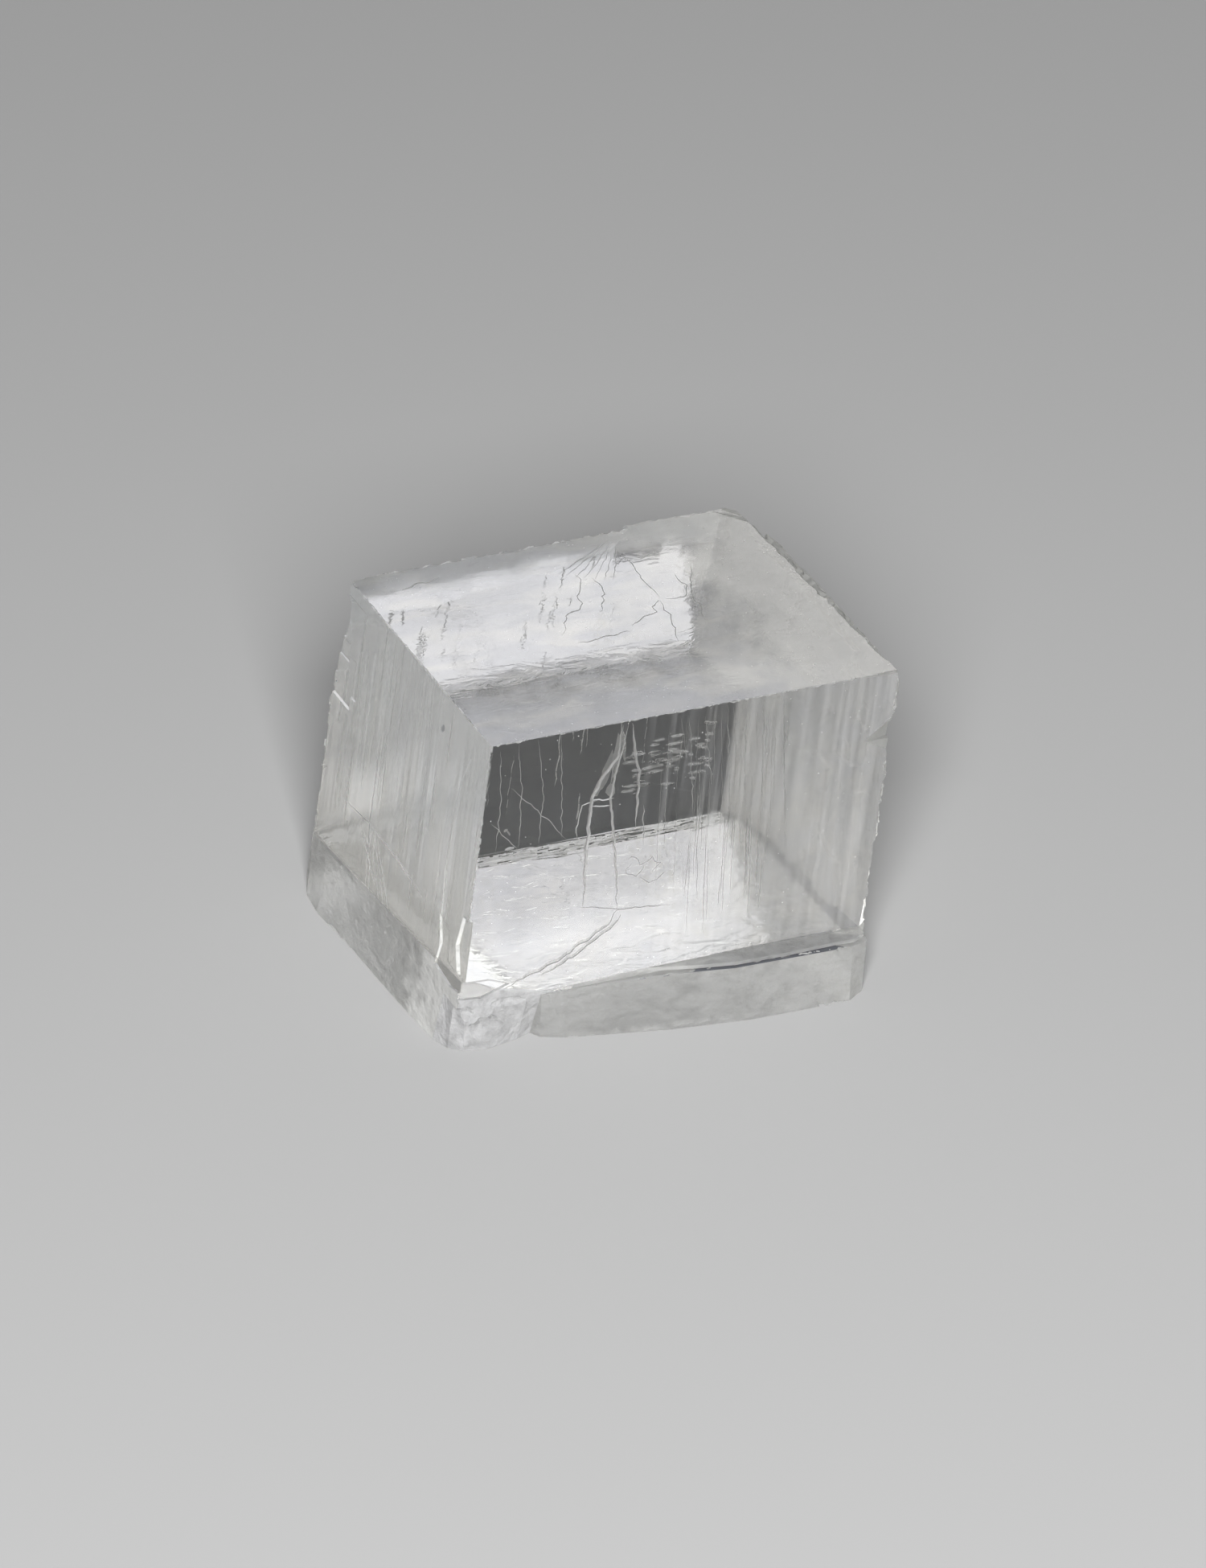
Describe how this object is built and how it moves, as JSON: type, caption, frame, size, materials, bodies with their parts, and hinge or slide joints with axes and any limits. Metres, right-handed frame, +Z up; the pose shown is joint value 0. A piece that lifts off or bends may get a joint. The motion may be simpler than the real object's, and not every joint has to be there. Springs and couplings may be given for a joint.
{
  "type": "raw calcite crystal",
  "caption": "Clear cleavage rhombohedron of raw calcite with flat skewed faces, a stepped foot parted from the block, chipped edges and a frosted broken corner.",
  "frame": {"origin": "bottom centre of the bounding box, on the plane the crystal rests on", "axes": "+X along the long top edge, left to right; +Y from the front face to the back; +Z up"},
  "size_m": [0.0608, 0.0458, 0.0342],
  "materials": {
    "calcite": "clear colourless calcite with glossy cleavage faces, hairline cracks inside, and frosted white breaks at one corner, the right end and the chipped edges"
  },
  "bodies": {
    "root": {"calcite_crystal": "calcite"}
  },
  "joints": []
}
